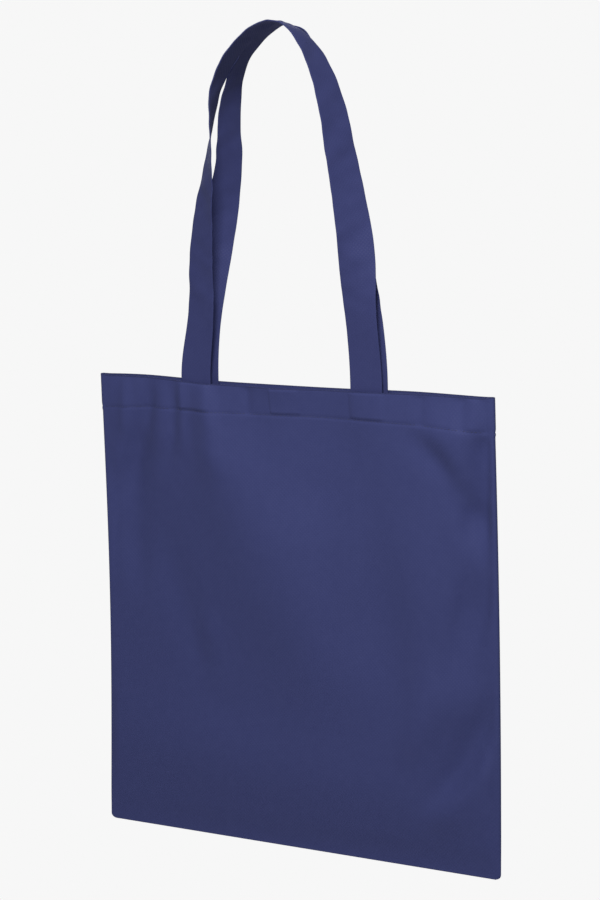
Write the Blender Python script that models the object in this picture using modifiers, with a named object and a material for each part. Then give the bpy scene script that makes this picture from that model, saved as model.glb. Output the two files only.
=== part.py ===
"""Carrier tote of non-woven fabric, hanging by its two long handles.

The bag is one sheet folded at the bottom, closed at both sides and hemmed inwards at the mouth.
Each handle is a folded strip whose two ends lie on the inner face of the hem, and which turns
over on its way up, so that the strip lies flat over whatever it hangs from.
Metres, +X across the bag, -Y out of the front panel, +Z up. The origin is the hanging point,
level with the top of the handles and midway between them.
"""

import bmesh
import bpy
import numpy as np

MM = 0.001
FRONT, BACK = -1, 1

# Bag
BAG_WIDTH = 0.380
BAG_HEIGHT = 0.400
SHEET = 0.0005
HEM_HEIGHT = 0.025
CORNER_RADIUS = 0.004

# Space between two layers that lie on each other
LAYER_GAP = 0.0004

# How the hanging bag opens and draws in
FRONT_BULGE = 0.0063
BACK_BULGE = 0.0003
BULGE_FLAT = 0.3
POUCH_HEIGHT = 0.006
POUCH_PLACE = -0.008
POUCH_SPREAD = 0.022
MOUTH_DRAW = 0.0043
SIDE_INSET = 0.0016
SIDE_BOW = 0.005
SIDE_ROLL = 0.0021
ROLL_FADE = 0.030
HEM_STEP = 0.0006
HEM_STEP_RUN = 0.003
RIM_WAVES = ((-0.145, 0.0022), (0.115, 0.0012))
WAVE_SPREAD = 0.050

# Soft folds of the hanging front panel, in millimetres. Each is a low ridge, or a trough where
# its height is negative: across and down where it starts, across and down where it ends, how far
# it bends sideways on the way, its half width at the start and at the end, and its height.
FRONT_FOLDS = (
    (-92, -40, 12, 390, -6, 26, 30, 4.5),
    (42, -40, 30, 300, -10, 18, 26, -2.5),
)
FOLD_FADE = 0.35
EDGE_FADE = 0.006
YIELD_SOFTNESS = 0.0003

# Handles
STRAP_WIDTH = 0.030
STRAP_THICKNESS = 0.001
STRAP_END_MARGIN = 0.003
HANDLE_SPACING = 0.160
FRONT_HANDLE_SHIFT = -0.0062
BACK_HANDLE_SHIFT = -0.0033
HANDLE_RISE = 0.2997
HANDLE_GAP = 0.0018
STRAP_CLEARANCE = 0.0006
STRAIGHT_RISE = 0.003

# Route of each handle from its left end to its right end. The columns are the share of the
# way, the place across in half spacings, the height in rises, the way from the mouth to the
# depth of the hanging point, and the share of the half turn from one end to the other.
FRONT_ROUTE = (
    (0.10, -0.99, 0.186, 0.25, 0.06),
    (0.20, -0.94, 0.398, 0.50, 0.11),
    (0.30, -0.79, 0.659, 0.80, 0.29),
    (0.38, -0.64, 0.846, 1.00, 0.43),
    (0.44, -0.32, 0.951, 1.00, 0.48),
    (0.48, -0.08, 0.992, 1.00, 0.48),
    (0.52, 0.06, 0.993, 1.00, 0.35),
    (0.56, 0.26, 0.971, 1.00, 0.42),
    (0.62, 0.55, 0.855, 1.00, 0.54),
    (0.70, 0.72, 0.673, 0.90, 0.62),
    (0.80, 0.86, 0.428, 0.60, 0.76),
    (0.90, 0.89, 0.227, 0.25, 1.00),
)
BACK_ROUTE = (
    (0.10, -1.00, 0.217, 0.20, 0.04),
    (0.20, -0.90, 0.413, 0.65, 0.23),
    (0.30, -0.78, 0.628, 1.00, 0.41),
    (0.38, -0.73, 0.801, 1.00, 0.49),
    (0.44, -0.48, 0.932, 1.00, 0.54),
    (0.48, -0.21, 0.985, 1.05, 0.52),
    (0.52, -0.02, 0.979, 1.00, 0.75),
    (0.56, 0.19, 0.956, 0.95, 0.67),
    (0.62, 0.41, 0.836, 1.00, 0.63),
    (0.70, 0.64, 0.672, 0.80, 0.73),
    (0.80, 0.74, 0.458, 0.50, 0.87),
    (0.90, 0.86, 0.244, 0.25, 0.97),
)

# Mesh steps
PANEL_COLUMNS = 28
SIDE_TURN_STEPS = 4
FOLD_STEPS = 4
CORNER_STEPS = 5
HEM_ROWS = 3
PANEL_ROWS = 18
HANDLE_STEPS = 72
STRAP_END_STEPS = 3
EDGE_STEPS = 3

# Worked out from the sizes above
HALF_WIDTH = BAG_WIDTH / 2
HALF_SPACING = HANDLE_SPACING / 2
FOLD_RADIUS = (SHEET + LAYER_GAP) / 2
LAYER_PITCH = SHEET + LAYER_GAP
STRAP_INSET = LAYER_PITCH + SHEET / 2 + STRAP_CLEARANCE + STRAP_THICKNESS / 2
HANG_DEPTH = (STRAP_WIDTH + HANDLE_GAP) / 2


def smoothstep(value):
    """0 below 0, 1 above 1, and an even S between."""
    value = np.clip(value, 0.0, 1.0)
    return value * value * (3 - 2 * value)


def down_share(down):
    """Distance below the rim as a share of the bag's height."""
    return np.clip(down / BAG_HEIGHT, 0.0, 1.0)


def side_half(down):
    """Half the depth of the rolled side edge, which runs out into the flat bottom fold."""
    rolled = smoothstep((BAG_HEIGHT - down) / ROLL_FADE)
    return FOLD_RADIUS + (SIDE_ROLL - FOLD_RADIUS) * rolled


def half_width(down):
    """Half a panel's width below the rim, up to the side roll, with the bottom corners rounded."""
    share = down_share(down)
    hem = 1 - smoothstep((down - HEM_HEIGHT) / HEM_STEP_RUN)
    drawn = MOUTH_DRAW * (1 - share) ** 2 + SIDE_INSET * np.sin(np.pi * share)
    into_corner = np.clip((down - BAG_HEIGHT + CORNER_RADIUS) / CORNER_RADIUS, 0.0, 1.0)
    rounded = CORNER_RADIUS * (1 - np.sqrt(1 - into_corner**2))
    return HALF_WIDTH - side_half(down) + HEM_STEP * hem - drawn - rounded


def side_bow(down):
    """How far the side seams lean back between the mouth and the bottom."""
    return SIDE_BOW * np.sin(np.pi * down_share(down))


def rim_lift(x, down):
    """How far the fabric is pulled up, as a low bell on each side of the rim that fades downwards."""
    lift = sum(height * np.exp(-(((x - place) / WAVE_SPREAD) ** 2)) for place, height in RIM_WAVES)
    return lift * (1 - down_share(down)) ** 3


def bulge(side, x, down):
    """How far a panel stands out from the edge of the side rolls.

    It is flat across the middle, turns back to the seams at both sides and fades downwards as
    1 - share**2. The front panel also has a pouch at the rim, a bell that fades faster.
    """
    share = down_share(down)
    across = np.abs(x) / half_width(down)
    plateau = smoothstep((1 - across) / (1 - BULGE_FLAT))
    if side == BACK:
        return BACK_BULGE * plateau * (1 - share**2)
    pouch = POUCH_HEIGHT * np.exp(-(((x - POUCH_PLACE) / POUCH_SPREAD) ** 2))
    return FRONT_BULGE * plateau * (1 - share**2) + pouch * (1 - share) ** 8


def fold_height(x, down):
    """Sum of the front folds. Each is a bell across its bent line, fading in and out along it."""
    total = np.zeros(np.broadcast(x, down).shape)
    for x0, down0, x1, down1, bend, width0, width1, height in np.array(FRONT_FOLDS) * MM:
        along_x, along_down = x1 - x0, down1 - down0
        length = np.hypot(along_x, along_down)
        way = ((x - x0) * along_x + (down - down0) * along_down) / length**2
        aside = ((x - x0) * along_down - (down - down0) * along_x) / length
        inside = np.clip(way, 0.0, 1.0)
        aside = aside - bend * 4 * inside * (1 - inside)
        width = width0 + (width1 - width0) * inside
        fade = smoothstep(way / FOLD_FADE) * smoothstep((1 - way) / FOLD_FADE)
        total += height * fade * np.exp(-((aside / width) ** 2))
    return total


def front_out(x, down):
    """How far the front panel stands out from the seam with its folds, which end at the edges."""
    edge = smoothstep((half_width(down) - np.abs(x)) / EDGE_FADE)
    bottom = smoothstep((BAG_HEIGHT - down) / (4 * EDGE_FADE))
    return bulge(FRONT, x, down) + edge * bottom * fold_height(x, down)


def back_out(x, down):
    """How far the back panel stands out, giving way where a fold presses the front against it."""
    back = bulge(BACK, x, down)
    lack = -front_out(x, down) - back
    return back + (lack + np.sqrt(lack**2 + YIELD_SOFTNESS**2)) / 2


def ring(down, height, inwards):
    """One closed row of the sheet's middle: front panel, right turn, back panel, left turn.

    down sets the shape, height the row's level, and inwards how far it lies inside the outer
    layer.
    """
    width = half_width(down)
    half = side_half(down) - inwards
    turn = np.pi * (np.arange(1, SIDE_TURN_STEPS) / SIDE_TURN_STEPS - 0.5)
    panel_x = width * np.linspace(-1, 1, PANEL_COLUMNS + 1)
    x = np.concatenate(
        (
            panel_x,
            width + half * np.cos(turn),
            -panel_x,
            -width - half * np.cos(turn),
        )
    )
    y = side_bow(down) + np.concatenate(
        (
            -half - front_out(panel_x, down),
            half * np.sin(turn),
            half + back_out(-panel_x, down),
            -half * np.sin(turn),
        )
    )
    return np.stack((x, y, height + rim_lift(x, down)), axis=1)


def bag_rings():
    """Every row of the bag, from the hem's free edge over the rim and down to the bottom fold."""
    rows = []
    for down in np.linspace(HEM_HEIGHT, FOLD_RADIUS, HEM_ROWS + 1):
        rows.append(ring(down, -down, LAYER_PITCH))
    for angle in np.pi * (1 - np.arange(1, FOLD_STEPS) / FOLD_STEPS):
        level = FOLD_RADIUS * (np.sin(angle) - 1)
        rows.append(ring(FOLD_RADIUS, level, FOLD_RADIUS * (1 - np.cos(angle))))
    for down in np.linspace(FOLD_RADIUS, HEM_HEIGHT, HEM_ROWS + 1):
        rows.append(ring(down, -down, 0))
    rows.append(ring(HEM_HEIGHT + HEM_STEP_RUN, -HEM_HEIGHT - HEM_STEP_RUN, 0))
    corner_top = BAG_HEIGHT - CORNER_RADIUS
    for down in np.linspace(2 * HEM_HEIGHT, corner_top, PANEL_ROWS):
        rows.append(ring(down, -down, 0))
    for angle in np.pi / 2 * np.arange(1, CORNER_STEPS) / CORNER_STEPS:
        down = corner_top + CORNER_RADIUS * np.sin(angle)
        rows.append(ring(down, -down, 0))
    for angle in np.pi / 2 * np.arange(1, FOLD_STEPS // 2 + 1) / (FOLD_STEPS // 2):
        level = -BAG_HEIGHT - FOLD_RADIUS * np.sin(angle)
        rows.append(ring(BAG_HEIGHT, level, FOLD_RADIUS * (1 - np.cos(angle))))
    return np.array(rows)


def clamped_spline(places, values, at, free_ends):
    """A cubic through the values that leaves both ends level or, with free_ends, along the chord."""
    gaps = np.diff(places)
    chords = np.diff(values) / gaps
    ends = (chords[0], chords[-1]) if free_ends else (0.0, 0.0)
    system = np.zeros((len(places), len(places)))
    sides = np.zeros(len(places))
    system[0, :2] = 2 * gaps[0], gaps[0]
    system[-1, -2:] = gaps[-1], 2 * gaps[-1]
    sides[0] = 6 * (chords[0] - ends[0])
    sides[-1] = 6 * (ends[1] - chords[-1])
    for i in range(1, len(places) - 1):
        system[i, i - 1 : i + 2] = gaps[i - 1], 2 * (gaps[i - 1] + gaps[i]), gaps[i]
        sides[i] = 6 * (chords[i] - chords[i - 1])
    bends = np.linalg.solve(system, sides)
    i = np.clip(np.searchsorted(places, at) - 1, 0, len(gaps) - 1)
    after, before, gap = at - places[i], places[i + 1] - at, gaps[i]
    return (
        (bends[i] * before**3 + bends[i + 1] * after**3) / (6 * gap)
        + (values[i] / gap - bends[i] * gap / 6) * before
        + (values[i + 1] / gap - bends[i + 1] * gap / 6) * after
    )


def inner_face(side, x, down):
    """Depth of a strap's middle where it touches the inner face of the hem at one place across."""
    out = front_out(x, down) if side == FRONT else back_out(x, down)
    return side_bow(down) + side * (side_half(down) + out - STRAP_INSET)


def strap_depth(side, x, down):
    """Depth of a flat strap's middle on the inner face, also where the face bends away from it."""
    edges = inner_face(side, x - STRAP_WIDTH / 2, down) + inner_face(side, x + STRAP_WIDTH / 2, down)
    return side * np.minimum(side * inner_face(side, x, down), side * edges / 2)


def strap_heading(side, x):
    """Direction of the strip's width at the mouth, seen from above, from the panel's slope there."""
    step = STRAP_WIDTH / 2
    run = inner_face(side, x + step, 0.0) - inner_face(side, x - step, 0.0)
    return np.arctan2(run, 2 * step)


def strap_end(side, x):
    """Points of the sewn end, from its raw edge up to the mouth."""
    down = np.linspace(HEM_HEIGHT - STRAP_END_MARGIN, 0, STRAP_END_STEPS + 1)
    x = np.full_like(down, x)
    return np.stack((x, strap_depth(side, x, down), rim_lift(x, 0.0) - down), axis=1)


def handle_path(side, route, shift):
    """The handle's middle line and, for each of its points, the heading of the strip's width."""
    left, right = strap_end(side, shift - HALF_SPACING), strap_end(side, shift + HALF_SPACING)
    share, across, rise, inwards, turn = np.array(route).T
    places = np.concatenate(([0], share, [1]))
    at = np.linspace(0, 1, HANDLE_STEPS + 1)
    mouth = (left[-1, 1] + right[-1, 1]) / 2
    lifts = left[-1, 2] + STRAIGHT_RISE, right[-1, 2] + STRAIGHT_RISE
    x = np.concatenate(([left[-1, 0]], HALF_SPACING * across, [right[-1, 0]]))
    y = np.concatenate(
        ([left[-1, 1]], mouth + (side * HANG_DEPTH - mouth) * inwards, [right[-1, 1]])
    )
    z = np.concatenate(([lifts[0]], HANDLE_RISE * rise, [lifts[1]]))
    first = strap_heading(side, left[-1, 0])
    last = strap_heading(side, right[-1, 0])
    if side == FRONT:
        last = last - np.pi
    else:
        first = first - np.pi
    heading = np.concatenate(([first], first + (last - first) * turn, [last]))
    free = np.stack(
        (
            clamped_spline(places, x, at, False),
            clamped_spline(places, y, at, False),
            clamped_spline(places, z, at, True),
        ),
        axis=1,
    )
    points = np.concatenate((left, free, right[::-1]))
    sewn = np.ones(STRAP_END_STEPS + 1)
    headings = np.concatenate(
        (first * sewn, clamped_spline(places, heading, at, False), last * sewn)
    )
    return points, headings


def strip_section():
    """The folded strip's outline, as shares of its width and thickness with round folds."""
    round_share = np.linspace(-np.pi / 2, np.pi / 2, EDGE_STEPS + 1)
    flat = STRAP_WIDTH / 2 - STRAP_THICKNESS / 2
    along = flat + STRAP_THICKNESS / 2 * np.cos(round_share)
    out = STRAP_THICKNESS / 2 * np.sin(round_share)
    along = np.concatenate((along, [0], -along[::-1], [0]))
    out = np.concatenate((out, [out[-1]], out[::-1], [out[0]]))
    return along, out


def handle_loops(side, route, shift):
    """The strip's outline carried along its path, square to the path and turned to its heading."""
    points, headings = handle_path(side, route, shift)
    tangent = np.gradient(points, axis=0)
    tangent /= np.linalg.norm(tangent, axis=1, keepdims=True)
    width = np.stack((np.cos(headings), np.sin(headings), np.zeros_like(headings)), axis=1)
    width -= (width * tangent).sum(axis=1, keepdims=True) * tangent
    width /= np.linalg.norm(width, axis=1, keepdims=True)
    face = np.cross(tangent, width)
    along, out = strip_section()
    return (
        points[:, None, :]
        + along[None, :, None] * width[:, None, :]
        + out[None, :, None] * face[:, None, :]
    )


def loft(name, loops, capped):
    """A mesh through closed rows of points, with a face over each end row if capped."""
    mesh = bpy.data.meshes.new(name)
    shape = bmesh.new()
    rows = [[shape.verts.new(point) for point in loop] for loop in loops]
    count = len(rows[0])
    for lower, upper in zip(rows, rows[1:]):
        for i in range(count):
            j = (i + 1) % count
            shape.faces.new((lower[i], lower[j], upper[j], upper[i]))
    if capped:
        shape.faces.new(reversed(rows[0]))
        shape.faces.new(rows[-1])
    else:
        bmesh.ops.remove_doubles(shape, verts=rows[-1], dist=FOLD_RADIUS / 100)
    bmesh.ops.recalc_face_normals(shape, faces=shape.faces)
    shape.to_mesh(mesh)
    shape.free()
    mesh.shade_smooth()
    return mesh


def fabric(name, colour, roughness):
    """Matt spunbonded polypropylene with a little sheen from its loose fibres."""
    material = bpy.data.materials.new(name)
    material.use_nodes = True
    surface = material.node_tree.nodes["Principled BSDF"]
    surface.inputs["Base Color"].default_value = (*colour, 1)
    surface.inputs["Roughness"].default_value = roughness
    surface.inputs["Metallic"].default_value = 0
    surface.inputs["Sheen Weight"].default_value = 0.2
    return material


def place(name, mesh, material, collection):
    """Adds an object so that its rim level hangs one handle rise below the origin."""
    thing = bpy.data.objects.new(name, mesh)
    thing.location.z = -HANDLE_RISE
    mesh.materials.append(material)
    collection.objects.link(thing)
    return thing


def make_bag(collection):
    """The sheet with its hem, given its thickness on both sides of its middle."""
    cloth = fabric("navy_nonwoven_sheet", (0.047, 0.053, 0.156), 0.85)
    bag = place("bag_body", loft("bag_body", bag_rings(), False), cloth, collection)
    wall = bag.modifiers.new("sheet_thickness", "SOLIDIFY")
    wall.thickness = SHEET
    wall.offset = 0
    wall.use_even_offset = True


def make_handle(name, side, route, shift, collection):
    """One carrying handle, a strip folded lengthways."""
    cloth = fabric(name + "_nonwoven_strip", (0.040, 0.043, 0.133), 0.85)
    place(name, loft(name, handle_loops(side, route, shift), True), cloth, collection)


def main():
    for thing in list(bpy.data.objects):
        bpy.data.objects.remove(thing, do_unlink=True)
    collection = bpy.data.collections.new("tote_bag")
    bpy.context.scene.collection.children.link(collection)
    make_bag(collection)
    make_handle("front_handle", FRONT, FRONT_ROUTE, FRONT_HANDLE_SHIFT, collection)
    make_handle("back_handle", BACK, BACK_ROUTE, BACK_HANDLE_SHIFT, collection)


main()
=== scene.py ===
"""Looks of the non-woven carrier tote, cut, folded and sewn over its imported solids.

Metres, +X across the bag, -Y out of the front panel, +Z up. The origin is the hanging point, and
the rim of the mouth lies HANDLE_RISE below it. Shapes are worked out with the rim at level 0 and
lowered into place when they become a mesh.
"""

import bmesh
import bpy
import numpy as np
from mathutils import Matrix, Vector


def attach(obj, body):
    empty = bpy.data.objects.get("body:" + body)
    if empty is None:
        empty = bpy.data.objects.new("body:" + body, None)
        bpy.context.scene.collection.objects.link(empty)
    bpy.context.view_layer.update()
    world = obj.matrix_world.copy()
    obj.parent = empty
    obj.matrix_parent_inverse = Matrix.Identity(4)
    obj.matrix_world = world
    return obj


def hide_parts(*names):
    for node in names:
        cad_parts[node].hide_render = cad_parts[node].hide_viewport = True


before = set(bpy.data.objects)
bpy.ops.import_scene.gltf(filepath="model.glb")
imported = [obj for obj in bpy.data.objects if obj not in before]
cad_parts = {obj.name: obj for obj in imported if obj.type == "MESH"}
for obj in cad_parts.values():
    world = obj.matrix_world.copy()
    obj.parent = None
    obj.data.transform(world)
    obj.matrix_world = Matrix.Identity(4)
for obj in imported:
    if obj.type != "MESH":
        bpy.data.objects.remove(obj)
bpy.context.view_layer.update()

MM = 0.001
FRONT, BACK = -1, 1

# Bag
BAG_WIDTH = 0.380
BAG_HEIGHT = 0.400
SHEET = 0.0005
HEM_HEIGHT = 0.025
CORNER_RADIUS = 0.004
LAYER_GAP = 0.0004
FRONT_BULGE = 0.0063
BACK_BULGE = 0.0003
BULGE_FLAT = 0.3
POUCH_HEIGHT = 0.006
POUCH_PLACE = -0.008
POUCH_SPREAD = 0.022
MOUTH_DRAW = 0.0043
SIDE_INSET = 0.0016
SIDE_BOW = 0.005
SIDE_ROLL = 0.0021
ROLL_FADE = 0.030
HEM_STEP = 0.0006
HEM_STEP_RUN = 0.003
RIM_WAVES = ((-0.145, 0.0022), (0.115, 0.0012))
WAVE_SPREAD = 0.050
FRONT_RIM_DROP, BACK_RIM_DROP = 0.0014, 0.0003
HEM_SAG = 0.0055

# Handles
STRAP_WIDTH = 0.030
STRAP_THICKNESS = 0.001
STRAP_END_MARGIN = 0.003
HANDLE_SPACING = 0.160
FRONT_HANDLE_SHIFT = -0.0062
BACK_HANDLE_SHIFT = -0.0033
HANDLE_RISE = 0.2997
HANDLE_GAP = 0.0018
STRAP_CLEARANCE = 0.0006
STRAIGHT_RISE = 0.003

# Slow waves of the strip out of its face: their lengths, their height as a share of that, how much
# they turn across the width, and where they begin and how fast they grow beyond each sewn end
STRAP_WAVES = (0.047, 0.031, 0.022, 0.015)
STRAP_WAVE_HEIGHT = 0.009
STRAP_WAVE_TURN = 1.4 * np.pi
STRAP_WAVE_START = 0.05
STRAP_WAVE_RUN = 0.06
FRONT_SEED, BACK_SEED = 11, 12

# Route of each handle from its left end to its right end. The columns are the share of the
# way, the place across in half spacings, the height in rises, the way from the mouth to the
# depth of the hanging point, and the share of the half turn from one end to the other.
FRONT_ROUTE = (
    (0.10, -0.99, 0.186, 0.25, 0.06),
    (0.20, -0.94, 0.398, 0.50, 0.11),
    (0.30, -0.79, 0.659, 0.80, 0.29),
    (0.38, -0.64, 0.846, 1.00, 0.43),
    (0.44, -0.32, 0.951, 1.00, 0.48),
    (0.48, -0.08, 0.992, 1.00, 0.48),
    (0.52, 0.06, 0.993, 1.00, 0.35),
    (0.56, 0.26, 0.971, 1.00, 0.42),
    (0.62, 0.55, 0.855, 1.00, 0.54),
    (0.70, 0.72, 0.673, 0.90, 0.62),
    (0.80, 0.86, 0.428, 0.60, 0.76),
    (0.90, 0.89, 0.227, 0.25, 1.00),
)
BACK_ROUTE = (
    (0.10, -1.00, 0.217, 0.20, 0.04),
    (0.20, -0.90, 0.413, 0.65, 0.23),
    (0.30, -0.78, 0.628, 1.00, 0.41),
    (0.38, -0.73, 0.801, 1.00, 0.49),
    (0.44, -0.48, 0.932, 1.00, 0.54),
    (0.48, -0.21, 0.985, 1.05, 0.52),
    (0.52, -0.02, 0.979, 1.00, 0.75),
    (0.56, 0.19, 0.956, 0.95, 0.67),
    (0.62, 0.41, 0.836, 1.00, 0.63),
    (0.70, 0.64, 0.672, 0.80, 0.73),
    (0.80, 0.74, 0.458, 0.50, 0.87),
    (0.90, 0.86, 0.244, 0.25, 0.97),
)

# Worked out from the sizes above
HALF_WIDTH = BAG_WIDTH / 2
HALF_SPACING = HANDLE_SPACING / 2
LAYER_PITCH = SHEET + LAYER_GAP
FOLD_RADIUS = LAYER_PITCH / 2
STRAP_INSET = LAYER_PITCH + SHEET / 2 + STRAP_CLEARANCE + STRAP_THICKNESS / 2
HANG_DEPTH = (STRAP_WIDTH + HANDLE_GAP) / 2

# Soft folds of the hanging panels, in millimetres. Each is a low ridge, or a trough where its
# height is negative: across and down where it starts, across and down where it ends, how far it
# bends sideways on the way, its half width at the start and at the end, and its height. The front
# ones are judged from the light and dark of the panel in the photograph.
FRONT_FOLDS = (
    # The main ridge from the left strap to the lower right, and the slack cloth on its right
    (-108, -25, 72, 360, 16, 26, 62, 7.4),
    (-86, 30, -26, 250, 7, 32, 44, 4.0),
    (34, -90, 90, 330, -2, 20, 48, -5.0),
    (-8, -30, 18, 138, 6, 26, 60, -4.2),
    (52, 34, 46, 214, 8, 26, 11, 2.6),
    (66, 200, 112, 366, -3, 34, 22, 2.0),
    (121, 72, 121, 358, 0, 30, 11, 4.4),
    # Pleats gathered by the hem at the left strap
    (-163, -60, -175, 80, 6, 7, 7, -2.6),
    (-160, -14, -164, 60, 0, 4, 7, 1.8),
    (-152, -20, -178, 105, 0, 12, 10, 5.0),
    (-148, -60, -152, 74, 0, 10, 7, -1.6),
    (-144, -14, -149, 62, 0, 5, 8, 2.0),
    (-124, -14, -134, 74, 0, 5, 8, 2.0),
    (-112, -15, -170, 125, -8, 7, 15, -3.6),
    (-112, -15, -122, 88, 5, 6, 8, -4.4),
    (-109, -18, -114, 86, -4, 14, 8, 3.2),
    (-99, -14, -103, 72, 0, 5, 8, 1.6),
    (-82, -18, -58, 95, -5, 8, 18, 3.2),
    (-75, -14, -70, 50, 0, 5, 8, 1.8),
    # Down the left side
    (-155, 24, -154, 205, -4, 30, 10, -5.2),
    (-144, 68, -40, 320, -16, 22, 16, -2.4),
    (-86, 188, -68, 292, -2, 11, 18, 2.4),
    (-182, 78, -206, 250, 10, 8, 8, -1.6),
    # Across the right side, from the hem to the corner
    (100, 22, 192, 128, 8, 10, 15, -4.4),
    (154, 0, 168, 95, -6, 30, 11, 6.4),
    (192, 10, 176, 94, -8, 8, 18, -6.4),
    (150, 100, 186, 100, -4, 11, 34, -6.0),
    (145, 168, 186, 176, -6, 38, 40, -5.4),
    (92, 326, 172, 226, 9, 14, 25, 4.8),
    (117, 362, 186, 230, -8, 14, 9, -5.4),
    (118, 364, 200, 276, -7, 8, 12, 5.0),
    (118, 372, 208, 300, -7, 9, 18, 2.4),
    # The belly above the bottom fold
    (-290, 310, 294, 358, -2, 48, 30, 5.6),
)
BACK_FOLDS = (
    (-74, 0, -30, 260, 8, 12, 28, -1.6),
    (78, 0, 40, 240, -8, 12, 26, -1.4),
    (-140, 0, -150, 120, 0, 8, 12, -0.8),
    (128, 0, 150, 150, 4, 9, 13, -0.9),
    (100, 330, 188, 280, 3, 11, 13, -1.0),
    (-110, 340, -188, 270, -3, 12, 14, -1.0),
)
FOLD_FADE = 0.35
EDGE_FADE = 0.006
BOTTOM_FADE = 0.024

# Marks of what lies inside the hem: the two strap ends and a doubled piece of the sheet
STRAP_MARK = 0.0010
MARK_EDGE = 0.0008
DOUBLED_LEFT, DOUBLED_RIGHT = -0.0133, 0.0122
DOUBLED_MARK = 0.0009

# Creases of the front hem alone, in millimetres: place across, half width and height
HEM_CREASES = ((-36, 4, -1.8), (122, 4, -1.8), (158, 4, -1.8), (178, 4, -1.4), (170, 5, 1.2))
CREASE_EDGE = 0.0048

# Stitching
STITCH_DOWN = 0.0236
STITCH_PITCH = 0.0032
STITCH_LENGTH = 0.0026
THREAD_RADIUS = 0.00022
STITCH_SIDES = 6
STITCH_RINGS = 7
STITCH_TIP = 0.02
STITCH_SUNK = 0.6
PUCKER_DEPTH = 0.0006
PUCKER_SPREAD = 0.0011
SIDE_PINCH = 0.0006

# Mesh steps
COLUMN_STEP = 0.0036
FINE_STEP = 0.0009
FINE_REACH = 0.0018
TURN_STEPS = 6
HEM_ROW_STEP = 0.0013
UPPER_ROW_STEP = 0.0034
LOWER_ROW_STEP = 0.0062
RIM_STEPS = 8
CORNER_STEPS = 8
BOTTOM_STEPS = 4
HANDLE_STEPS = 320
STRAP_END_STEPS = 24
STRAP_FACE_POINTS = 17
STRAP_NOSE_POINTS = 7
STRAP_FOLD_POINTS = 9


def smoothstep(value):
    """0 below 0, 1 above 1, and an even S between."""
    value = np.clip(value, 0.0, 1.0)
    return value * value * (3 - 2 * value)


def down_share(down):
    """Distance below the rim as a share of the bag's height."""
    return np.clip(down / BAG_HEIGHT, 0.0, 1.0)


def side_half(down):
    """Half the depth of the rolled side edge, which runs out into the flat bottom fold."""
    rolled = smoothstep((BAG_HEIGHT - down) / ROLL_FADE)
    return FOLD_RADIUS + (SIDE_ROLL - FOLD_RADIUS) * rolled


def half_width(down):
    """Half a panel's width below the rim, up to the side roll, with the bottom corners rounded.

    The hem is a little wider than the rest, and the stitching draws it in along its line.
    """
    share = down_share(down)
    hem = 1 - smoothstep((down - HEM_HEIGHT) / HEM_STEP_RUN)
    drawn = MOUTH_DRAW * (1 - share) ** 2 + SIDE_INSET * np.sin(np.pi * share)
    into_corner = np.clip((down - BAG_HEIGHT + CORNER_RADIUS) / CORNER_RADIUS, 0.0, 1.0)
    rounded = CORNER_RADIUS * (1 - np.sqrt(1 - into_corner**2))
    pinched = SIDE_PINCH * np.exp(-(((down - STITCH_DOWN) / PUCKER_SPREAD) ** 2))
    return HALF_WIDTH - side_half(down) + HEM_STEP * hem - drawn - rounded - pinched


def side_bow(down):
    """How far the side seams lean back between the mouth and the bottom: half a sine."""
    return SIDE_BOW * np.sin(np.pi * down_share(down))


def lift(side, x, down):
    """How far the fabric of a panel lies above its level: pulled up at the rim, sagging at the hem.

    The rim has a low bell on each side, which fades downwards. The front rim hangs a little lower
    than the back one, and the hem sags towards both ends, as the square of the way across.
    """
    left = 1 - down_share(down)
    pulled = sum(high * np.exp(-(((x - place) / WAVE_SPREAD) ** 2)) for place, high in RIM_WAVES)
    drop = FRONT_RIM_DROP if side == FRONT else BACK_RIM_DROP
    inside = smoothstep((half_width(down) - np.abs(x)) / EDGE_FADE)
    sag = HEM_SAG * (x / HALF_WIDTH) ** 2 * smoothstep(down / HEM_HEIGHT)
    return pulled * left**3 - drop * inside * left**8 - sag * left**2


def fold_height(folds, x, down):
    """Sum of the folds. Each is a bell across its bent line, fading in and out along it."""
    total = np.zeros(np.broadcast(x, down).shape)
    for x0, down0, x1, down1, bend, width0, width1, height in np.array(folds) * MM:
        along_x, along_down = x1 - x0, down1 - down0
        length = np.hypot(along_x, along_down)
        way = ((x - x0) * along_x + (down - down0) * along_down) / length**2
        aside = ((x - x0) * along_down - (down - down0) * along_x) / length
        inside = np.clip(way, 0.0, 1.0)
        aside = aside - bend * 4 * inside * (1 - inside)
        width = width0 + (width1 - width0) * inside
        fade = smoothstep(way / FOLD_FADE) * smoothstep((1 - way) / FOLD_FADE)
        total += height * fade * np.exp(-((aside / width) ** 2))
    return total


def inside_step(value, low, high, edge):
    """1 between low and high, 0 outside, with soft edges."""
    return smoothstep((value - low) / edge + 0.5) * smoothstep((high - value) / edge + 0.5)


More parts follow.
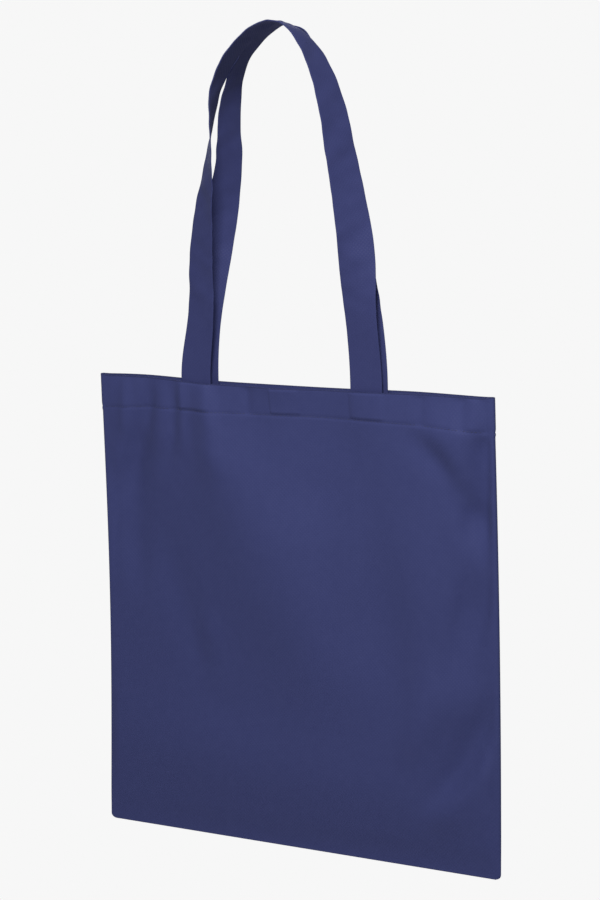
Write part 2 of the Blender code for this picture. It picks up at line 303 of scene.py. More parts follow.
def hem_marks(side, x, down):
    """What stands out of the hem, as flat steps over the strap ends and the doubled piece.

    The front hem also has its creases, which are bells across, and the stitching sinks a bell
    shaped groove along its line.
    """
    shift = FRONT_HANDLE_SHIFT if side == FRONT else BACK_HANDLE_SHIFT
    from_strap = np.abs(np.abs(x - shift) - HALF_SPACING)
    depth = inside_step(down, MARK_EDGE, HEM_HEIGHT - STRAP_END_MARGIN, MARK_EDGE * 2)
    half = STRAP_WIDTH / 2
    marks = STRAP_MARK * depth * smoothstep((half - from_strap) / MARK_EDGE + 0.5)
    if side == FRONT:
        marks = marks + DOUBLED_MARK * depth * inside_step(x, DOUBLED_LEFT, DOUBLED_RIGHT, MARK_EDGE)
        within = inside_step(down, MARK_EDGE, STITCH_DOWN, CREASE_EDGE)
        for place, spread, height in np.array(HEM_CREASES) * MM:
            marks = marks + height * within * np.exp(-(((x - place) / spread) ** 2))
    return marks - PUCKER_DEPTH * np.exp(-(((down - STITCH_DOWN) / PUCKER_SPREAD) ** 2))


def bulge(side, x, down):
    """How far a panel stands out from the edge of the side rolls.

    It is flat across the middle, turns back to the seams at both sides and fades downwards as
    1 - share**2. The front panel also has a pouch at the rim, a bell that fades faster.
    """
    share = down_share(down)
    across = np.abs(x) / half_width(down)
    plateau = smoothstep((1 - across) / (1 - BULGE_FLAT))
    if side == BACK:
        return BACK_BULGE * plateau * (1 - share**2)
    pouch = POUCH_HEIGHT * np.exp(-(((x - POUCH_PLACE) / POUCH_SPREAD) ** 2))
    return FRONT_BULGE * plateau * (1 - share**2) + pouch * (1 - share) ** 8


def panel_out(side, x, down):
    """How far a panel's middle stands out from the seam: its bulge, its folds and the hem's marks."""
    folds = FRONT_FOLDS if side == FRONT else BACK_FOLDS
    edge = smoothstep((half_width(down) - np.abs(x)) / EDGE_FADE)
    bottom = smoothstep((BAG_HEIGHT - down) / BOTTOM_FADE)
    relief = fold_height(folds, x, down) * bottom + hem_marks(side, x, down)
    return bulge(side, x, down) + edge * relief


def excess(value, softness=0.0003):
    """The value where it is positive and 0 where it is negative, with a soft turn between."""
    return (value + np.sqrt(value**2 + softness**2)) / 2


def panel_depth(side, x, down, inwards):
    """Depth of a panel's middle, inwards from its outer layer. The back gives way to the front."""
    front = panel_out(FRONT, x, down)
    if side == FRONT:
        return side_bow(down) - (side_half(down) - inwards) - front
    back = panel_out(BACK, x, down)
    across = np.abs(x) / half_width(down)
    room = excess(-front - back) * smoothstep((1 - across) * HALF_WIDTH / EDGE_FADE)
    return side_bow(down) + (side_half(down) - inwards) + back + room


def refined(low, high, step, places):
    """Even steps from low to high, with finer ones round each place."""
    even = np.linspace(low, high, round((high - low) / step) + 1)
    offsets = np.arange(-FINE_REACH, FINE_REACH + FINE_STEP / 2, FINE_STEP)
    fine = (np.array(places)[:, None] + offsets).reshape(-1)
    clear = np.abs(even[:, None] - fine[None, :]).min(axis=1) > step / 4
    clear[[0, -1]] = True
    return np.unique(np.concatenate((even[clear], fine)).round(6))


def bag_columns():
    """Places across the panel as shares of its half width, closer together at the hem's marks."""
    half = STRAP_WIDTH / 2
    strap_edges = [
        shift + leg * HALF_SPACING + way * half
        for shift in (FRONT_HANDLE_SHIFT, -BACK_HANDLE_SHIFT)
        for leg in (-1, 1)
        for way in (-1, 1)
    ]
    edges = sorted(strap_edges + [DOUBLED_LEFT, DOUBLED_RIGHT])
    places = refined(-HALF_WIDTH, HALF_WIDTH, COLUMN_STEP, edges)
    return places / HALF_WIDTH


def bag_rows():
    """Every row of the sheet, from the hem's free edge over the rim and down to the bottom fold.

    Returns the distance below the rim that shapes the row, its level, how far it lies inside the
    outer layer and its place along the sheet.
    """
    hem = np.arange(HEM_HEIGHT, FOLD_RADIUS, -HEM_ROW_STEP)
    turn = np.pi * (1 - np.linspace(0, 1, RIM_STEPS + 1))
    outer_hem = np.arange(FOLD_RADIUS, HEM_HEIGHT + 2 * HEM_STEP_RUN, HEM_ROW_STEP)[1:]
    upper_end, corner_top = BAG_HEIGHT / 2, BAG_HEIGHT - CORNER_RADIUS
    upper = np.arange(outer_hem[-1], upper_end, UPPER_ROW_STEP)[1:]
    lower = np.linspace(upper[-1], corner_top, round((corner_top - upper[-1]) / LOWER_ROW_STEP))[1:]
    corner = np.pi / 2 * np.arange(1, CORNER_STEPS) / CORNER_STEPS
    bottom = np.pi / 2 * np.arange(1, BOTTOM_STEPS + 1) / BOTTOM_STEPS
    outside = np.concatenate((outer_hem, upper, lower, corner_top + CORNER_RADIUS * np.sin(corner)))
    down = np.concatenate(
        (hem, np.full(len(turn), FOLD_RADIUS), outside, np.full(len(bottom), BAG_HEIGHT))
    )
    level = np.concatenate(
        (
            -hem,
            FOLD_RADIUS * (np.sin(turn) - 1),
            -outside,
            -BAG_HEIGHT - FOLD_RADIUS * np.sin(bottom),
        )
    )
    inwards = np.concatenate(
        (
            np.full(len(hem), LAYER_PITCH),
            FOLD_RADIUS * (1 - np.cos(turn)),
            np.zeros(len(outside)),
            FOLD_RADIUS * (1 - np.cos(bottom)),
        )
    )
    steps = np.hypot(np.diff(level), np.diff(inwards))
    return down, level, inwards, np.concatenate(([0], np.cumsum(steps)))


def bag_surface():
    """The middle of the bag's one sheet, as rows round the bag, and each point's flat place.

    A row is the front panel from left to right, half a turn round the side seam, the back panel
    from right to left and the other half turn.
    """
    across = bag_columns()
    down, level, inwards, along = (values[:, None] for values in bag_rows())
    width = half_width(down)
    half = side_half(down) - inwards
    turn = np.pi * (np.arange(1, TURN_STEPS)[None, :] / TURN_STEPS - 0.5)
    front_x, back_x = width * across, -width * across
    x = np.concatenate(
        (front_x, width + half * np.cos(turn), back_x, -width - half * np.cos(turn)), axis=1
    )
    y = np.concatenate(
        (
            panel_depth(FRONT, front_x, down, inwards),
            side_bow(down) + half * np.sin(turn),
            panel_depth(BACK, back_x, down, inwards),
            side_bow(down) - half * np.sin(turn),
        ),
        axis=1,
    )
    round_turn = np.ones_like(turn)
    z = level + np.concatenate(
        (
            lift(FRONT, front_x, down),
            lift(FRONT, width, down) * round_turn,
            lift(BACK, back_x, down),
            lift(BACK, -width, down) * round_turn,
        ),
        axis=1,
    )
    edge = np.pi * SIDE_ROLL
    seam = np.linspace(0, edge, TURN_STEPS + 1)[1:-1]
    flat_x = np.concatenate(
        (
            HALF_WIDTH * (1 + across),
            BAG_WIDTH + seam,
            edge + HALF_WIDTH * (3 + across),
            2 * BAG_WIDTH + edge + seam,
            [2 * (BAG_WIDTH + edge)],
        )
    )
    flat = np.stack(np.broadcast_arrays(flat_x[None, :], along), axis=-1)
    return np.stack((x, y, z), axis=-1), flat


def clamped_spline(places, values, at, free_ends):
    """A cubic through the values that leaves both ends level or, with free_ends, along the chord."""
    gaps = np.diff(places)
    chords = np.diff(values) / gaps
    ends = (chords[0], chords[-1]) if free_ends else (0.0, 0.0)
    system = np.zeros((len(places), len(places)))
    sides = np.zeros(len(places))
    system[0, :2] = 2 * gaps[0], gaps[0]
    system[-1, -2:] = gaps[-1], 2 * gaps[-1]
    sides[0] = 6 * (chords[0] - ends[0])
    sides[-1] = 6 * (ends[1] - chords[-1])
    for i in range(1, len(places) - 1):
        system[i, i - 1 : i + 2] = gaps[i - 1], 2 * (gaps[i - 1] + gaps[i]), gaps[i]
        sides[i] = 6 * (chords[i] - chords[i - 1])
    bends = np.linalg.solve(system, sides)
    i = np.clip(np.searchsorted(places, at) - 1, 0, len(gaps) - 1)
    after, before, gap = at - places[i], places[i + 1] - at, gaps[i]
    return (
        (bends[i] * before**3 + bends[i + 1] * after**3) / (6 * gap)
        + (values[i] / gap - bends[i] * gap / 6) * before
        + (values[i + 1] / gap - bends[i + 1] * gap / 6) * after
    )


def inner_face(side, x, down):
    """Depth of a strap's middle where it touches the hem's inner face at one place across.

    The face is taken smooth, without its small marks.
    """
    folds = FRONT_FOLDS if side == FRONT else BACK_FOLDS
    out = bulge(side, x, down) + fold_height(folds, x, down)
    return side_bow(down) + side * (side_half(down) + out - STRAP_INSET)


def strap_depth(side, x, down):
    """Depth of a flat strap's middle on the inner face, also where the face bends away from it."""
    edges = inner_face(side, x - STRAP_WIDTH / 2, down) + inner_face(side, x + STRAP_WIDTH / 2, down)
    return side * np.minimum(side * inner_face(side, x, down), side * edges / 2)


def strap_heading(side, x):
    """Direction of the strip's width at the mouth, seen from above, from the panel's slope there."""
    step = STRAP_WIDTH / 2
    run = inner_face(side, x + step, 0.0) - inner_face(side, x - step, 0.0)
    return np.arctan2(run, 2 * step)


def strap_end(side, x):
    """Points of the sewn end, from its raw edge up to the mouth."""
    down = np.linspace(HEM_HEIGHT - STRAP_END_MARGIN, 0, STRAP_END_STEPS + 1)
    x = np.full_like(down, x)
    return np.stack((x, strap_depth(side, x, down), lift(side, x, 0.0) - down), axis=1)


def handle_path(side, route, shift):
    """The handle's middle line and, for each of its points, the heading of the strip's width."""
    left, right = strap_end(side, shift - HALF_SPACING), strap_end(side, shift + HALF_SPACING)
    share, across, rise, inwards, turn = np.array(route).T
    places = np.concatenate(([0], share, [1]))
    at = np.linspace(0, 1, HANDLE_STEPS + 1)[1:-1]
    mouth = (left[-1, 1] + right[-1, 1]) / 2
    lifts = left[-1, 2] + STRAIGHT_RISE, right[-1, 2] + STRAIGHT_RISE
    x = np.concatenate(([left[-1, 0]], HALF_SPACING * across, [right[-1, 0]]))
    y = np.concatenate(
        ([left[-1, 1]], mouth + (side * HANG_DEPTH - mouth) * inwards, [right[-1, 1]])
    )
    z = np.concatenate(([lifts[0]], HANDLE_RISE * rise, [lifts[1]]))
    first = strap_heading(side, left[-1, 0])
    last = strap_heading(side, right[-1, 0])
    if side == FRONT:
        last = last - np.pi
    else:
        first = first - np.pi
    heading = np.concatenate(([first], first + (last - first) * turn, [last]))
    free = np.stack(
        (
            clamped_spline(places, x, at, False),
            clamped_spline(places, y, at, False),
            clamped_spline(places, z, at, True),
        ),
        axis=1,
    )
    points = np.concatenate((left, free, right[::-1]))
    sewn = np.ones(STRAP_END_STEPS + 1)
    headings = np.concatenate(
        (first * sewn, clamped_spline(places, heading, at, False), last * sewn)
    )
    return points, headings


def strip_section():
    """Outline of the strip folded lengthways: a round fold at one edge, two layers at the other.

    Returns places along the width and out of the face, in metres, once round.
    """
    flat = STRAP_WIDTH / 2 - STRAP_THICKNESS / 2
    layer = STRAP_THICKNESS / 4
    face = np.linspace(-flat, flat, STRAP_FACE_POINTS + 2)[1:-1]
    nose = np.linspace(-np.pi / 2, np.pi / 2, STRAP_NOSE_POINTS)
    fold = np.linspace(np.pi / 2, 3 * np.pi / 2, STRAP_FOLD_POINTS)
    along = np.concatenate(
        (
            flat + layer * np.cos(nose),
            flat + layer * np.cos(nose[1:]),
            face[::-1],
            -flat + 2 * layer * np.cos(fold),
            face,
        )
    )
    out = np.concatenate(
        (
            -layer + layer * np.sin(nose),
            layer + layer * np.sin(nose[1:]),
            np.full(len(face), 2 * layer),
            2 * layer * np.sin(fold),
            np.full(len(face), -2 * layer),
        )
    )
    return along, out


def handle_surface(side, route, shift, seed):
    """The strip's outline carried along its path, square to the path and turned to its heading.

    The strip is a little uneven: it waves out of its face by a sum of slow sines along its length.
    """
    points, headings = handle_path(side, route, shift)
    steps = np.linalg.norm(np.diff(points, axis=0), axis=1)
    length = np.concatenate(([0], np.cumsum(steps)))
    tangent = np.gradient(points, axis=0)
    tangent /= np.linalg.norm(tangent, axis=1, keepdims=True)
    width = np.stack((np.cos(headings), np.sin(headings), np.zeros_like(headings)), axis=1)
    width -= (width * tangent).sum(axis=1, keepdims=True) * tangent
    width /= np.linalg.norm(width, axis=1, keepdims=True)
    face = np.cross(tangent, width)
    along, out = strip_section()
    from_end = np.minimum(length, length[-1] - length)
    free = smoothstep((from_end - STRAP_WAVE_START) / STRAP_WAVE_RUN)
    phases = np.random.default_rng(seed).uniform(0, 2 * np.pi, (len(STRAP_WAVES), 2))
    wave = np.zeros((len(length), len(along)))
    for (phase, tilt), pitch in zip(phases, STRAP_WAVES):
        swing = STRAP_WAVE_HEIGHT * pitch * np.sin(2 * np.pi * length / pitch + phase)
        across = np.cos(STRAP_WAVE_TURN * along / STRAP_WIDTH + tilt)
        wave += swing[:, None] * across[None, :]
    wave *= free[:, None]
    surface = (
        points[:, None, :]
        + along[None, :, None] * width[:, None, :]
        + (out[None, :, None] + wave[:, :, None]) * face[:, None, :]
    )
    around = np.concatenate(([0], np.cumsum(np.hypot(np.diff(along), np.diff(out)))))
    around = np.append(around, 2 * around[-1] - around[-2])
    flat = np.stack(np.broadcast_arrays(around[None, :], length[:, None]), axis=-1)
    return surface, flat


def cloth_mesh(name, points, flat, capped):
    """A mesh of four-sided faces over closed rows of points, with a face over each end if capped.

    flat is each point's place on the flat cloth in metres, with one column more than the points
    for the closing edge, and becomes the UV map.
    """
    rows, columns = points.shape[:2]
    index = np.arange(rows * columns).reshape(rows, columns)
    index = np.concatenate((index, index[:, :1]), axis=1)
    corners = np.stack((index[:-1, :-1], index[:-1, 1:], index[1:, 1:], index[1:, :-1]), axis=-1)
    places = np.stack((flat[:-1, :-1], flat[:-1, 1:], flat[1:, 1:], flat[1:, :-1]), axis=-2)
    faces = corners.reshape(-1, 4).tolist()
    places = places.reshape(-1, 2)
    if capped:
        faces.append(index[0, -2::-1].tolist())
        faces.append(index[-1, :-1].tolist())
        places = np.concatenate((places, flat[0, -2::-1], flat[-1, :-1]))
    mesh = bpy.data.meshes.new(name)
    mesh.from_pydata((points.reshape(-1, 3) - (0, 0, HANDLE_RISE)), [], faces)
    mesh.uv_layers.new(name="flat_cloth").data.foreach_set("uv", places.reshape(-1))
    return mesh


def outwards(mesh, welded_row=0):
    """Closes the last row onto itself if asked, and turns all faces outwards."""
    shape = bmesh.new()
    shape.from_mesh(mesh)
    shape.verts.ensure_lookup_table()
    if welded_row:
        bmesh.ops.remove_doubles(shape, verts=shape.verts[-welded_row:], dist=FOLD_RADIUS / 100)
    bmesh.ops.recalc_face_normals(shape, faces=shape.faces)
    shape.to_mesh(mesh)
    shape.free()
    mesh.shade_smooth()


def add_piece(name, mesh, material, nodes=()):
    """Adds a piece of the bag that rides on its one body and takes the place of its solids."""
    piece = bpy.data.objects.new(name, mesh)
    bpy.context.scene.collection.objects.link(piece)
    mesh.materials.append(material)
    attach(piece, "root")
    if nodes:
        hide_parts(*nodes)
    return piece


def make_bag(material):
    """The sheet folded at the bottom, closed at the sides and hemmed, with its own thickness."""
    points, flat = bag_surface()
    mesh = cloth_mesh("tote_bag", points, flat, capped=False)
    outwards(mesh, welded_row=points.shape[1])
    bag = add_piece("tote_bag", mesh, material, ["bag_body"])
    wall = bag.modifiers.new("sheet_thickness", "SOLIDIFY")
    wall.thickness = SHEET
    wall.offset = 0
    wall.use_even_offset = True
    return bag


def make_handle(side, route, shift, seed, material):
    """One carrying handle, a strip folded lengthways and sewn inside the hem at both ends."""
    place = "front" if side == FRONT else "back"
    name = f"{place}_carrying_handle"
    points, flat = handle_surface(side, route, shift, seed)
    mesh = cloth_mesh(name, points, flat, capped=True)
    outwards(mesh)
    return add_piece(name, mesh, material, [f"{place}_handle"])


def stitch_places(side):
    """Middle of each stitch on a panel's outer face, and the direction it runs in."""
    half = half_width(STITCH_DOWN) - STITCH_PITCH
    x = np.arange(-half, half, STITCH_PITCH)
    step = STITCH_LENGTH / 2

    def on_panel(x):
        y = panel_depth(side, x, STITCH_DOWN, 0.0) + side * SHEET / 2
        return np.stack((x, y, lift(side, x, STITCH_DOWN) - STITCH_DOWN), axis=1)

    run = on_panel(x + step) - on_panel(x - step)
    return on_panel(x), run / np.linalg.norm(run, axis=1, keepdims=True)


def make_stitching(material):
    """Thread stitches round the hem: each a lens, thick in its middle and sunk at both ends."""
    ring = np.linspace(0, 2 * np.pi, STITCH_SIDES + 1)[:-1]
    way = np.linspace(-1, 1, STITCH_RINGS)
    girth = np.sqrt(np.clip(1 - way**2, STITCH_TIP, None))
    verts, faces = [], []
    for side in (FRONT, BACK):
        middles, runs = stitch_places(side)
        up = np.array((0.0, 0.0, 1.0))
        outs = np.cross(runs, up) * -side
        outs /= np.linalg.norm(outs, axis=1, keepdims=True)
        ups = np.cross(outs, runs)
        centre = middles[:, None, :] + runs[:, None, :] * (way * STITCH_LENGTH / 2)[None, :, None]
        centre = centre + outs[:, None, :] * (THREAD_RADIUS * (girth - STITCH_SUNK))[None, :, None]
        around = (
            np.cos(ring)[None, None, :, None] * outs[:, None, None, :]
            + np.sin(ring)[None, None, :, None] * ups[:, None, None, :]
        )
        points = centre[:, :, None, :] + around * (THREAD_RADIUS * girth)[None, :, None, None]
        start = sum(len(block) for block in verts)
        index = start + np.arange(points[..., 0].size).reshape(points.shape[:3])
        following = np.roll(index, -1, axis=2)
        sides = np.stack((index[:, :-1], following[:, :-1], following[:, 1:], index[:, 1:]), axis=-1)
        faces += sides.reshape(-1, 4).tolist()
        faces += index[:, 0, ::-1].tolist() + index[:, -1].tolist()
        verts.append(points.reshape(-1, 3))
    mesh = bpy.data.meshes.new("hem_stitching")
    mesh.from_pydata(np.concatenate(verts) - (0, 0, HANDLE_RISE), [], faces)
    outwards(mesh)
    return add_piece("hem_stitching", mesh, material)


def colour(code):
    """Linear RGBA of an sRGB hex value."""
    channels = np.array([int(code[i : i + 2], 16) / 255 for i in (1, 3, 5)])
    linear = np.where(channels <= 0.04045, channels / 12.92, ((channels + 0.055) / 1.055) ** 2.4)
    return (*linear.tolist(), 1.0)


def add_node(tree, kind, settings=None, inputs=None):
    """Adds a node, sets its properties and then its inputs, each to a value or from a socket."""
    node = tree.nodes.new(kind)
    for name, value in (settings or {}).items():
        setattr(node, name, value)
    for name, value in (inputs or {}).items():
        if isinstance(value, bpy.types.NodeSocket):
            tree.links.new(value, node.inputs[name])
        else:
            node.inputs[name].default_value = value
    return node


def new_material(name):
    """An empty material with its output, and the tree to fill."""
    material = bpy.data.materials.new(name)
    material.use_nodes = True
    tree = material.node_tree
    tree.nodes.clear()
    return material, tree


# Spacing of the bonded dots that hold the fibres together. The real ones are about 1.5 mm apart
# and would not show at this size, so they are drawn a little coarser.
BOND_PITCH = 0.0022
FIBRE_PITCH = 0.0006
CLOUD_SIZE = 0.010
WEB_HEIGHT = 0.00012

# Painted shade along the rim's fold, whose turned edge lies in shade: half the band's width and how
# much darker it is
PAINTED_SHADE_HALF = 0.0010
PAINTED_SHADE_LEVEL = 0.62

THREAD_TWIST = 0.0012
PLY_HEIGHT = 0.00005


def bond_dimples(tree, place):
    """0 in each round dot pressed into the web and 1 between, on a square grid turned by 45 degrees."""
    turned = add_node(
        tree,
        "ShaderNodeMapping",
        inputs={"Vector": place, "Rotation": (0, 0, np.pi / 4)},
    ).outputs["Vector"]
    dots = add_node(
        tree,
        "ShaderNodeTexVoronoi",
        {"voronoi_dimensions": "2D", "feature": "F1"},
        {"Vector": turned, "Scale": 1 / BOND_PITCH, "Randomness": 0.0},
    ).outputs["Distance"]
    return add_node(
        tree,
        "ShaderNodeMapRange",
        {"interpolation_type": "SMOOTHSTEP"},
        {"Value": dots, "From Min": 0.22, "From Max": 0.42, "To Min": 0.0, "To Max": 1.0},
    ).outputs["Result"]


def cloudy_tone(tree, place, base, dark, light):
    """The dye, a little darker where fewer fibres fell and a little lighter where more did."""
    clouds = add_node(
        tree,
        "ShaderNodeTexNoise",
        {"noise_dimensions": "2D"},
        {"Vector": place, "Scale": 1 / CLOUD_SIZE, "Detail": 5.0, "Roughness": 0.6},
    ).outputs["Fac"]
    tone = add_node(tree, "ShaderNodeValToRGB", inputs={"Fac": clouds})
    ramp = tone.color_ramp.elements
    ramp[0].position, ramp[0].color = 0.30, colour(dark)
    ramp[1].position, ramp[1].color = 0.70, colour(light)
    ramp.new(0.5).color = colour(base)
    return tone.outputs["Color"]


def painted_fold_shade(tree, place, shaded_fold):
    """Painted shade: 1 over the sheet, falling to the shade level within the band's half width of the
    fold, a place along the sheet.
    """
    along = add_node(tree, "ShaderNodeSeparateXYZ", inputs={"Vector": place}).outputs["Y"]
    beyond = add_node(
        tree, "ShaderNodeMath", {"operation": "SUBTRACT"}, {0: along, 1: shaded_fold}
    ).outputs["Value"]
    aside = add_node(
        tree, "ShaderNodeMath", {"operation": "ABSOLUTE"}, {0: beyond}
    ).outputs["Value"]
    return add_node(
        tree,
        "ShaderNodeMapRange",
        {"interpolation_type": "SMOOTHSTEP"},
        {
            "Value": aside,
            "From Min": PAINTED_SHADE_HALF / 2,
            "From Max": PAINTED_SHADE_HALF * 3 / 2,
            "To Min": PAINTED_SHADE_LEVEL,
            "To Max": 1.0,
        },
    ).outputs["Result"]


def nonwoven_cloth(name, base, dark, light, shaded_fold=None):
    """Spunbonded polypropylene: a matt web of loose fibres pressed together at rows of dots.

    The dots are small smooth dimples on a diamond grid, the web between them is fuzzy and a little
    cloudy where more or fewer fibres fell, and the loose fibres give a soft sheen at the edges.
    Where a fold is given, as a place along the sheet, a band along it is darkened as painted shade of
    the fold's turned edge.
    """
    material, tree = new_material(name)
    place = add_node(tree, "ShaderNodeTexCoord").outputs["UV"]
    dimples = bond_dimples(tree, place)
    fibres = add_node(
        tree,
        "ShaderNodeTexNoise",
        {"noise_dimensions": "2D"},
        {"Vector": place, "Scale": 1 / FIBRE_PITCH, "Detail": 3.0, "Distortion": 1.6},
    ).outputs["Fac"]
    fibres_and_painted_shade = add_node(
        tree,
        "ShaderNodeMapRange",
        inputs={"Value": fibres, "From Min": 0.3, "From Max": 0.7, "To Min": 0.97, "To Max": 1.03},
    ).outputs["Result"]
    # Painted shade along the fold, multiplied into the random tone of the fibres
    if shaded_fold is not None:
        painted_shade = painted_fold_shade(tree, place, shaded_fold)
        fibres_and_painted_shade = add_node(
            tree, "ShaderNodeMath", {"operation": "MULTIPLY"}, {0: fibres_and_painted_shade, 1: painted_shade}
        ).outputs["Value"]
    dyed = add_node(
        tree,
        "ShaderNodeVectorMath",
        {"operation": "SCALE"},
        {"Vector": cloudy_tone(tree, place, base, dark, light), "Scale": fibres_and_painted_shade},
    ).outputs["Vector"]
    rough = add_node(
        tree,
        "ShaderNodeMapRange",
        inputs={"Value": dimples, "From Min": 0.0, "From Max": 1.0, "To Min": 0.62, "To Max": 0.88},
    ).outputs["Result"]
    web = add_node(
        tree,
        "ShaderNodeMath",
        {"operation": "MULTIPLY_ADD"},
        {0: fibres, 1: 0.35, 2: dimples},
    ).outputs["Value"]
    bump = add_node(
        tree,
        "ShaderNodeBump",
        inputs={"Height": web, "Strength": 0.35, "Distance": WEB_HEIGHT},
    ).outputs["Normal"]
    surface = add_node(
        tree,
        "ShaderNodeBsdfPrincipled",
        inputs={
            "Base Color": dyed,
            "Roughness": rough,
            "Normal": bump,
            "IOR": 1.49,
            "Specular IOR Level": 0.2,
            "Sheen Weight": 0.12,
            "Sheen Roughness": 0.5,
            "Sheen Tint": colour("#8a90b8"),
        },
    )
    add_node(tree, "ShaderNodeOutputMaterial", inputs={"Surface": surface.outputs["BSDF"]})
    return material


def sewing_thread(name, light, dark):
    """Spun polyester sewing thread, dyed to the cloth: a little smoother and closer than the web.

    Its twisted plies read as slanting light and dark bands: the lighter colour is the thread's own dye,
    and the darker bands are painted shade between the plies.
    """
    material, tree = new_material(name)
    place = add_node(tree, "ShaderNodeTexCoord").outputs["Object"]
    twist = add_node(
        tree,
        "ShaderNodeTexWave",
        {"bands_direction": "DIAGONAL"},
        {"Vector": place, "Scale": 1 / THREAD_TWIST, "Distortion": 1.0},
    ).outputs["Fac"]
    # From the thread's dye to a darker colour that is painted shade between the plies
    tone = add_node(tree, "ShaderNodeValToRGB", inputs={"Fac": twist})
    tone.color_ramp.elements[0].color = colour(dark)
    tone.color_ramp.elements[1].color = colour(light)
    bump = add_node(
        tree,
        "ShaderNodeBump",
        inputs={"Height": twist, "Strength": 0.4, "Distance": PLY_HEIGHT},
    ).outputs["Normal"]
    surface = add_node(
        tree,
        "ShaderNodeBsdfPrincipled",
        inputs={
            "Base Color": tone.outputs["Color"],
            "Roughness": 0.6,
            "Normal": bump,
            "Sheen Weight": 0.2,
        },
    )
    add_node(tree, "ShaderNodeOutputMaterial", inputs={"Surface": surface.outputs["BSDF"]})
    return material


# The photograph's pale backdrop
BACKDROP = "#f7f7f7"
FLOOR_LEVEL = -1.25
FLOOR_SIZE = 60.0
SHADOW_REACH = 1.1
SHADOW_STRENGTH = 0.25


def pale_floor():
    """Painted studio floor, which reads as the backdrop except for the soft shadow near the bag."""
    material, tree = new_material("painted_studio_floor")
    place = add_node(tree, "ShaderNodeTexCoord").outputs["Object"]
    away = add_node(tree, "ShaderNodeVectorMath", {"operation": "LENGTH"}, {0: place})
    near = add_node(
        tree,
        "ShaderNodeMapRange",
        {"interpolation_type": "SMOOTHSTEP"},
        {
            "Value": away.outputs["Value"],
            "From Min": SHADOW_REACH / 3,
            "From Max": SHADOW_REACH,
            "To Min": SHADOW_STRENGTH,
            "To Max": 0.0,
        },
    ).outputs["Result"]
    camera = add_node(tree, "ShaderNodeLightPath").outputs["Is Camera Ray"]
    seen = add_node(
        tree, "ShaderNodeMath", {"operation": "SUBTRACT"}, {0: 1.0, 1: near}
    ).outputs["Value"]
    plain = add_node(
        tree, "ShaderNodeMath", {"operation": "MULTIPLY"}, {0: camera, 1: seen}
    ).outputs["Value"]
    paint = add_node(tree, "ShaderNodeBsdfDiffuse", inputs={"Color": colour(BACKDROP)})
    glow = add_node(tree, "ShaderNodeEmission", inputs={"Color": colour(BACKDROP), "Strength": 1.0})
    mixed = add_node(
        tree,
        "ShaderNodeMixShader",
        inputs={0: plain, 1: paint.outputs["BSDF"], 2: glow.outputs["Emission"]},
    )
    add_node(tree, "ShaderNodeOutputMaterial", inputs={"Surface": mixed.outputs["Shader"]})
    return material


def make_floor():
    """A wide flat floor well below the hanging bag."""
    half = FLOOR_SIZE / 2
    corners = [(-half, -half), (half, -half), (half, half), (-half, half)]
    mesh = bpy.data.meshes.new("studio_floor")
    mesh.from_pydata([(x, y, FLOOR_LEVEL) for x, y in corners], [], [(0, 1, 2, 3)])
    floor = bpy.data.objects.new("studio_floor", mesh)
    bpy.context.scene.collection.objects.link(floor)
    mesh.materials.append(pale_floor())


AMBIENT = 0.16


def make_world():
    """Even light from all round, with the backdrop's colour where the camera looks past the floor."""
    world = bpy.data.worlds.new("studio")
    bpy.context.scene.world = world
    world.use_nodes = True
    tree = world.node_tree
    tree.nodes.clear()
    camera = add_node(tree, "ShaderNodeLightPath").outputs["Is Camera Ray"]
    room = add_node(
        tree, "ShaderNodeBackground", inputs={"Color": colour("#ffffff"), "Strength": AMBIENT}
    )
    sky = add_node(
        tree, "ShaderNodeBackground", inputs={"Color": colour(BACKDROP), "Strength": 1.0}
    )
    mixed = add_node(
        tree,
        "ShaderNodeMixShader",
        inputs={0: camera, 1: room.outputs["Background"], 2: sky.outputs["Background"]},
    )
    add_node(tree, "ShaderNodeOutputWorld", inputs={"Surface": mixed.outputs["Shader"]})


def add_softbox(name, place, aim, size, power):
    """A square lamp at a place, facing the point it is aimed at."""
    lamp = bpy.data.lights.new(name, "AREA")
    lamp.shape = "SQUARE"
    lamp.size = size
    lamp.energy = power
    softbox = bpy.data.objects.new(name, lamp)
    softbox.location = place
    softbox.rotation_euler = (Vector(aim) - Vector(place)).to_track_quat("-Z", "Y").to_euler()
    bpy.context.scene.collection.objects.link(softbox)


# Measured from the photograph: where the camera stands from the middle of the rim and how it
# is turned, in metres and degrees
CAMERA_PLACE = (0.9582, -1.7283, 0.2816)
CAMERA_YAW, CAMERA_ELEVATION, CAMERA_ROLL = 28.775, 9.649, -1.024
CAMERA_LENS = 96.0
CAMERA_SENSOR = 36.0


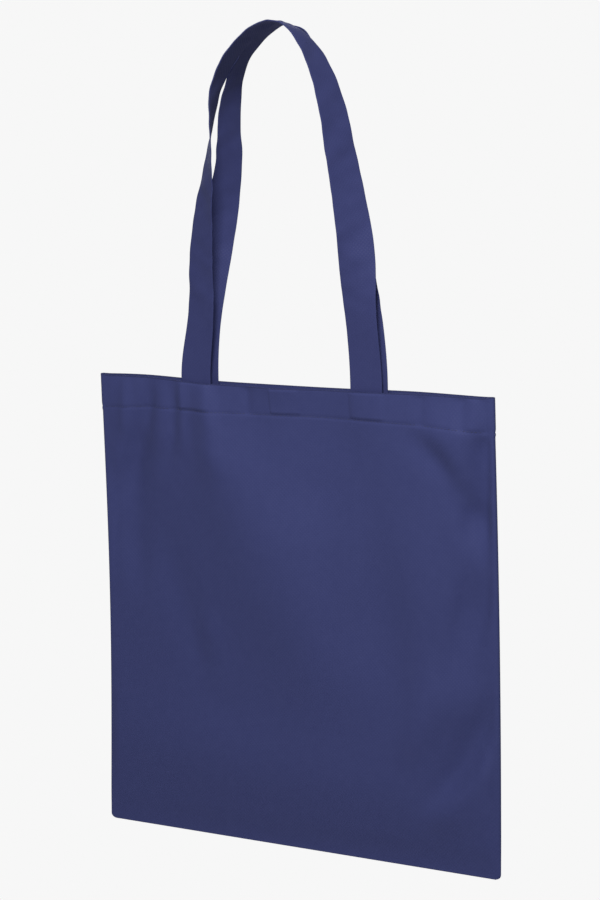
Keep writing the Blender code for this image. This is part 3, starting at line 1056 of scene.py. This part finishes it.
def make_camera():
    """The photograph's view: turned to the bag's right, looking slightly down, a little rolled."""
    yaw, tilt, roll = np.radians((CAMERA_YAW, CAMERA_ELEVATION, CAMERA_ROLL))
    backwards = Vector((np.sin(yaw) * np.cos(tilt), -np.cos(yaw) * np.cos(tilt), np.sin(tilt)))
    right = Vector((np.cos(yaw), np.sin(yaw), 0))
    up = backwards.cross(right)
    rolled_right = right * np.cos(roll) + up * np.sin(roll)
    rolled_up = up * np.cos(roll) - right * np.sin(roll)
    lens = bpy.data.cameras.new("photo_camera")
    lens.lens = CAMERA_LENS
    lens.sensor_width = CAMERA_SENSOR
    lens.sensor_fit = "AUTO"
    camera = bpy.data.objects.new("photo_camera", lens)
    place = Vector(CAMERA_PLACE) - Vector((0, 0, HANDLE_RISE))
    columns = Matrix((rolled_right, rolled_up, backwards)).transposed()
    camera.matrix_world = Matrix.Translation(place) @ columns.to_4x4()
    bpy.context.scene.collection.objects.link(camera)
    bpy.context.scene.camera = camera


def sew_tote():
    """Every piece of the bag with its cloth, declared as the flat sheet it was cut from."""
    # The middle of the rim's fold, along which the sheet is darkened as painted shade
    shaded_rim_fold = HEM_HEIGHT - FOLD_RADIUS + np.pi * FOLD_RADIUS / 2
    bag_cloth = nonwoven_cloth("spunbonded_navy_sheet", "#3e4475", "#3d4374", "#3f4576", shaded_rim_fold)
    strap_cloth = nonwoven_cloth("spunbonded_navy_strip", "#3a3f6e", "#393e6d", "#3b406f")
    # The thread's dye, then the darker colour painted as shade between its plies
    thread = sewing_thread("navy_sewing_thread", "#3a3f68", "#262a4c")
    bag = make_bag(bag_cloth)
    stitching = make_stitching(thread)
    handles = [
        make_handle(FRONT, FRONT_ROUTE, FRONT_HANDLE_SHIFT, FRONT_SEED, strap_cloth),
        make_handle(BACK, BACK_ROUTE, BACK_HANDLE_SHIFT, BACK_SEED, strap_cloth),
    ]


sew_tote()
make_floor()
make_world()
make_camera()
add_softbox("key_softbox", (0.40, -0.97, 0.58), (0, 0, -0.36), 0.4, 17)
add_softbox("fill_softbox", (-1.6, 2.2, 0.6), (0, 0, -0.45), 1.6, 24)
bpy.context.scene.view_settings.view_transform = "Standard"
